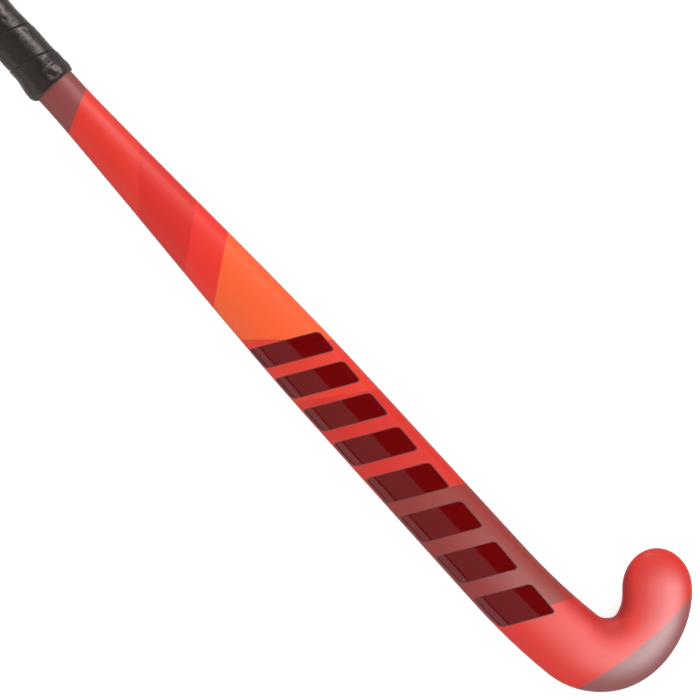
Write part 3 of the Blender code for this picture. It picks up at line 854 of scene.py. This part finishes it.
line = add(tree, "Math", [aside, -BAR_SLANT, along], operation="MULTIPLY_ADD")
line = add(tree, "Math", [line, BAR_START], operation="SUBTRACT")
line = add(tree, "Math", [line, 0.0], operation="MAXIMUM")
root = add(tree, "Math", [line, 2 * BAR_GROWTH, BAR_PITCH**2], operation="MULTIPLY_ADD")
root = add(tree, "Math", [root], operation="SQRT")
root = add(tree, "Math", [root, BAR_PITCH], operation="SUBTRACT")
count = add(tree, "Math", [root, BAR_GROWTH], operation="DIVIDE")
whole = add(tree, "Math", [count], operation="FLOOR")
pitch = add(tree, "Math", [whole, BAR_GROWTH, BAR_PITCH + BAR_GROWTH / 2], operation="MULTIPLY_ADD")
inside = add(tree, "Math", [count], operation="FRACT")
inside = add(tree, "Math", [inside, 0.5], operation="SUBTRACT")
inside = add(tree, "Math", [inside], operation="ABSOLUTE")
inside = add(tree, "Math", [inside, BAR_FILL / 2], operation="SUBTRACT")
lengthwise = add(tree, "Math", [inside, pitch, BAR_CORNER], operation="MULTIPLY_ADD")
middle = add(tree, "Math", [line, -BAR_TAPER / 2, (BAR_HEEL + BAR_TOE) / 2], operation="MULTIPLY_ADD")
reach = add(tree, "Math", [
    line, -BAR_TAPER / 2, (BAR_TOE - BAR_HEEL) / 2 - BAR_CORNER,
], operation="MULTIPLY_ADD")
crosswise = add(tree, "Math", [aside, middle], operation="SUBTRACT")
crosswise = add(tree, "Math", [crosswise], operation="ABSOLUTE")
crosswise = add(tree, "Math", [crosswise, reach], operation="SUBTRACT")
nearest = add(tree, "Math", [lengthwise, crosswise], operation="MAXIMUM")
nearest = add(tree, "Math", [nearest, 0.0], operation="MINIMUM")
lengthwise = add(tree, "Math", [lengthwise, 0.0], operation="MAXIMUM")
crosswise = add(tree, "Math", [crosswise, 0.0], operation="MAXIMUM")
corner = add(tree, "CombineXYZ", {"X": lengthwise, "Y": crosswise})
corner = add(tree, "VectorMath", [corner], operation="LENGTH")
depth = add(tree, "Math", [corner, nearest], operation="ADD")
depth = add(tree, "Math", [BAR_CORNER, depth], operation="SUBTRACT")

# %% Lay the colours over each other
back = add(tree, "Attribute", attribute_name="back").outputs["Fac"]
in_row = add(tree, "Math", [count, float(BAR_COUNT)], operation="LESS_THAN")
in_row = add(tree, "Math", [in_row, back], operation="MULTIPLY")
masks = []
for inset in (0.0, BAR_RIM):
    mask = add(tree, "MapRange", {
        "Value": depth, "From Min": inset - EDGE_BLUR / 2, "From Max": inset + EDGE_BLUR / 2,
    })
    masks.append(add(tree, "Math", [mask, in_row], operation="MULTIPLY"))
rim_mask, bar_mask = masks
# The painted shade goes on first, then the print's rim and bars.
for mask, layer in ((painted_shade, "#B51008"), (rim_mask, "#6E302E"), (bar_mask, "#6E0508")):
    colour = add(tree, "Mix", {"Factor": mask, "A": colour, "B": linear(layer)}, data_type="RGBA")
print(f"{BAR_COUNT} glossy bars, {BAR_PITCH * 1000:.0f} mm apart at first")

# %% Satin and gloss
SATIN = 0.53
SATIN_SPREAD = 0.03
GLOSS = 0.07
EDGE_GLOSS = 0.12
EDGE_FULL = 0.6  # nearness to the edge from which the clear lacquer is at its thickest
SPECKLES, PEEL = 900.0, 350.0  # in a metre: 1 mm and 3 mm apart
PEEL_DEPTH = 0.0001  # the sprayed film's faint orange peel

speckle = add(tree, "TexNoise", {"Vector": spot, "Scale": SPECKLES, "Detail": 2.0})
satin = add(tree, "MapRange", {
    "Value": speckle,
    "From Min": 0.3,
    "From Max": 0.7,
    "To Min": SATIN - SATIN_SPREAD,
    "To Max": SATIN + SATIN_SPREAD,
})
roughness = add(tree, "Mix", {"Factor": bar_mask, "A": satin, "B": GLOSS}, data_type="FLOAT")
peel = add(tree, "TexNoise", {"Vector": spot, "Scale": PEEL, "Detail": 1.0})
bump = add(tree, "Bump", {"Height": peel, "Strength": 0.12, "Distance": PEEL_DEPTH})
edge = add(tree, "Attribute", attribute_name="edge").outputs["Fac"]
pooled = add(tree, "MapRange", {"Value": edge, "From Max": EDGE_FULL}, interpolation_type="SMOOTHSTEP")
fill(tree, shader, {
    "Base Color": colour,
    "Roughness": roughness,
    "Normal": bump,
    "IOR": 1.46,
    "Coat Weight": pooled,
    "Coat Roughness": EDGE_GLOSS,
})
painted_laminate.data.materials.append(paint)
print(f"{paint.name}: {len(tree.nodes)} nodes")

# %% [markdown]
# ## Rubber, foam and bare laminate
# The cap is matte black rubber with a fine moulded grain. The pieces inside the stick never show, but they
# have their real finishes too: creamy rigid foam with fine cells, a denser tan foam in the head, a grey plug,
# and the web's woven carbon.

# %% Moulded rubber
GRIT, DUST = 1200.0, 60.0  # in a metre: 0.8 mm and 17 mm apart
GRIT_DEPTH = 0.00008

rubber, tree, shader = finish("moulded_rubber")
spot = add(tree, "TexCoord").outputs["Object"]
grit = add(tree, "TexNoise", {"Vector": spot, "Scale": GRIT, "Detail": 2.0})
dust = add(tree, "TexNoise", {"Vector": spot, "Scale": DUST, "Detail": 3.0})
tone = add(tree, "Mix", {"Factor": dust, "A": linear("#1E1C1C"), "B": linear("#2C2928")}, data_type="RGBA")
dull = add(tree, "MapRange", {"Value": dust, "To Min": 0.55, "To Max": 0.75})
bump = add(tree, "Bump", {"Height": grit, "Strength": 0.3, "Distance": GRIT_DEPTH})
fill(tree, shader, {"Base Color": tone, "Roughness": dull, "Normal": bump})
rubber_cap.data.materials.append(rubber)
print(f"{rubber.name}: {len(tree.nodes)} nodes")

# %% Foams
FOAMS = {  # light colour, dark colour, size of the cells
    "rigid_polyurethane_foam": ("#E6DBB5", "#C9B985", 0.0008),
    "dense_polyurethane_foam": ("#C5A66B", "#9D7F48", 0.0005),
    "plug_foam": ("#B3B0AA", "#8E8B86", 0.0006),
}
foams = {}
for name, (light, dark, cell) in FOAMS.items():
    foams[name], tree, shader = finish(name)
    spot = add(tree, "TexCoord").outputs["Object"]
    cells = add(tree, "TexVoronoi", {"Vector": spot, "Scale": 1 / cell})
    tone = add(tree, "Mix", {"Factor": cells, "A": linear(dark), "B": linear(light)}, data_type="RGBA")
    bump = add(tree, "Bump", {"Height": cells, "Strength": 0.6, "Distance": cell / 3})
    fill(tree, shader, {"Base Color": tone, "Roughness": 0.9, "Normal": bump})
print("foams:", ", ".join(foams))

# %% Woven carbon
TOW = 0.002  # width of one fibre bundle

carbon, tree, shader = finish("woven_carbon_laminate")
spot = add(tree, "TexCoord").outputs["Object"]
check = add(tree, "TexChecker", {"Vector": spot, "Scale": 1 / TOW}).outputs["Fac"]
tone = add(tree, "Mix", {"Factor": check, "A": linear("#1A1B1D"), "B": linear("#2E3033")}, data_type="RGBA")
shine = add(tree, "MapRange", {"Value": check, "To Min": 0.32, "To Max": 0.45})
fill(tree, shader, {"Base Color": tone, "Roughness": shine})
print(f"{carbon.name}: {len(tree.nodes)} nodes")

# %% Inner pieces
INNER_FINISHES = {
    "centre_web": carbon,
    "heel_side_core": foams["rigid_polyurethane_foam"],
    "toe_side_core": foams["rigid_polyurethane_foam"],
    "head_core": foams["dense_polyurethane_foam"],
    "handle_plug": foams["plug_foam"],
}
for name, material in INNER_FINISHES.items():
    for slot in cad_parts[name].material_slots:
        slot.material = material
print("inner pieces:", ", ".join(INNER_FINISHES))

# %% [markdown]
# ## Each piece joins the frame
# A piece rides on the one body, and the CAD node it stands for is hidden.

# %% Pieces on the body
for piece, node, slot in (
    (painted_laminate, "laminate_shell", "painted_laminate"),
    (wound_grip, "grip_tape", "grip_polyurethane"),
    (rubber_cap, "butt_cap", "cap_rubber"),
):
    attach(piece, "root")
    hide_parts(node)
    print(f"{piece.name} stands for {node}")

# %% [markdown]
# ## Floor and light
# The background is plain white, as in the photograph. The floor and the world look white to the camera and in
# reflections through Light Path, while the floor still takes the stick's soft shadow. Three soft boxes light
# the stick. One beyond the toe side only lights and makes no highlight. A long strip gives the streak on the
# grip and the upper shaft. A small one, above and beyond the base of the hook and with a narrow beam, gives
# the broad highlight on the head. The world fills the rest.

# %% World
SKY_LIGHT = 0.86  # what lights the stick; the camera and reflections see 1, which is white
WHITE = (1, 1, 1, 1)


def looked_at(tree):
    """Node that gives 1 to rays from the camera, and to those sent on by glossy or clear surfaces."""
    path = add(tree, "LightPath").outputs
    seen = add(tree, "Math", [path["Is Camera Ray"], path["Is Glossy Ray"]], operation="MAXIMUM")
    return add(tree, "Math", [seen, path["Is Transmission Ray"]], operation="MAXIMUM")


world = bpy.data.worlds.new("studio")
scene.world = world
world.use_nodes = True
tree = world.node_tree
strength = add(tree, "MapRange", {"Value": looked_at(tree), "To Min": SKY_LIGHT, "To Max": 1.0})
fill(tree, tree.nodes["Background"], {"Color": WHITE, "Strength": strength})
print(f"the world lights the stick at {SKY_LIGHT}")

# %% Floor
FLOOR_SIDE = 14.0
FLOOR_LEVEL = -0.0003
FLOOR_GLOW = 0.62  # for what the camera and reflections see

out = FLOOR_SIDE / 2
floor_mesh = bpy.data.meshes.new("floor")
floor_mesh.from_pydata(
    [(x, y, FLOOR_LEVEL) for x, y in ((-out, -out), (out, -out), (out, out), (-out, out))],
    [],
    [(0, 1, 2, 3)],
)
floor = bpy.data.objects.new("floor", floor_mesh)
scene.collection.objects.link(floor)
pale, tree, shader = finish("white_board")
glow = add(tree, "Math", [looked_at(tree), FLOOR_GLOW], operation="MULTIPLY")
fill(tree, shader, {
    "Base Color": linear("#E8E8E8"),
    "Roughness": 0.9,
    "Emission Color": WHITE,
    "Emission Strength": glow,
})
floor_mesh.materials.append(pale)
print(f"floor: {FLOOR_SIDE:.0f} m square")

# %% Lamps
HEAD_BEAM = 70  # degrees, so that only the head shows this lamp
LAMPS = (  # name, place, what it is turned to, size, power, kind of ray that doesn't see it
    ("side_fill", (0.10, 1.60, 1.00), (0.0, 0.0, 0.0), (1.6, 0.70), 11.0, "glossy"),
    ("side_strip", (-0.265, 0.370, 0.314), (-0.265, -0.035, 0.02), (0.53, 0.18), 2.9, "diffuse"),
    ("head_box", (0.602, 0.081, 0.273), (0.42, 0.0, 0.0), (0.20, 0.20), 0.68, "diffuse"),
)
for name, place, target, size, power, unseen_by in LAMPS:
    light = bpy.data.lights.new(name, "AREA")
    light.shape = "RECTANGLE"
    light.size, light.size_y = size
    light.energy = power
    if name == "head_box":
        light.spread = math.radians(HEAD_BEAM)
        light.color = linear("#E4F5F5")[:3]  # a little cooler than the rest
    lamp = bpy.data.objects.new(name, light)
    scene.collection.objects.link(lamp)
    lamp.location = place
    lamp.rotation_euler = (Vector(target) - Vector(place)).to_track_quat("-Z", "Y").to_euler()
    lamp.visible_camera = False
    setattr(lamp, "visible_" + unseen_by, False)
    print(f"{name}: {power} W")

# %% [markdown]
# A lacquered surface shows what stands round it. The photograph's gloss shows a dark room with a pale panel
# over the heel side: red is deep on the toe half and greyer on the heel half, with a line between them along
# the stick's crown, and the edges are dark. So black cards stand round the stick on three sides and over its
# toe half, a bright wall stands on the heel side, a grey panel hangs over the heel half, and a dim card lies
# on the floor. Only reflections see them.

# %% Cards round the stick
CARD_REACH = 4.0  # to each wall
CARD_TOP = 2.4
CARD_FLOOR = -0.0001
FLOOR_BRIGHTNESS = 0.25
WALL_BRIGHTNESS = 1.0  # of the wall on the heel side
PANEL_REACH = 3.1  # of the grey panel, from over the stick to the heel side
PANEL_BRIGHTNESS = 0.42


def cards(name, quads, brightness):
    """Flat cards from corner points, seen only in reflections."""
    mesh = bpy.data.meshes.new(name)
    corners = [corner for quad in quads for corner in quad]
    mesh.from_pydata(corners, [], [range(4 * i, 4 * i + 4) for i in range(len(quads))])
    cloth, tree, shader = finish(name)
    fill(tree, shader, {
        "Base Color": (0.001, 0.001, 0.001, 1),
        "Roughness": 1.0,
        "Emission Color": WHITE,
        "Emission Strength": brightness,
    })
    mesh.materials.append(cloth)
    panel = bpy.data.objects.new(name, mesh)
    scene.collection.objects.link(panel)
    for ray in ("camera", "diffuse", "transmission", "volume_scatter", "shadow"):
        setattr(panel, "visible_" + ray, False)
    print(f"{name}: {len(quads)} at brightness {brightness}")


def level(y_from, y_to, z):
    """Corners of a level card."""
    far = CARD_REACH
    return [(-far, y_from, z), (far, y_from, z), (far, y_to, z), (-far, y_to, z)]


def upright(start, end):
    """Corners of a wall between two places on the floor."""
    return [(*start, CARD_FLOOR), (*end, CARD_FLOOR), (*end, CARD_TOP), (*start, CARD_TOP)]


out = CARD_REACH
sides = (((out, -out), (out, out)), ((out, out), (-out, out)), ((-out, out), (-out, -out)))
over_toe = [level(AXIS_Y, out, CARD_TOP), level(-out, AXIS_Y - PANEL_REACH, CARD_TOP)]
cards("black_cards", [upright(*side) for side in sides] + over_toe, 0.0)
cards("grey_card", [level(-out, out, CARD_FLOOR)], FLOOR_BRIGHTNESS)
cards("grey_wall", [upright((-out, -out), (out, -out))], WALL_BRIGHTNESS)
cards("grey_panel", [level(AXIS_Y - PANEL_REACH, AXIS_Y, CARD_TOP)], PANEL_BRIGHTNESS)
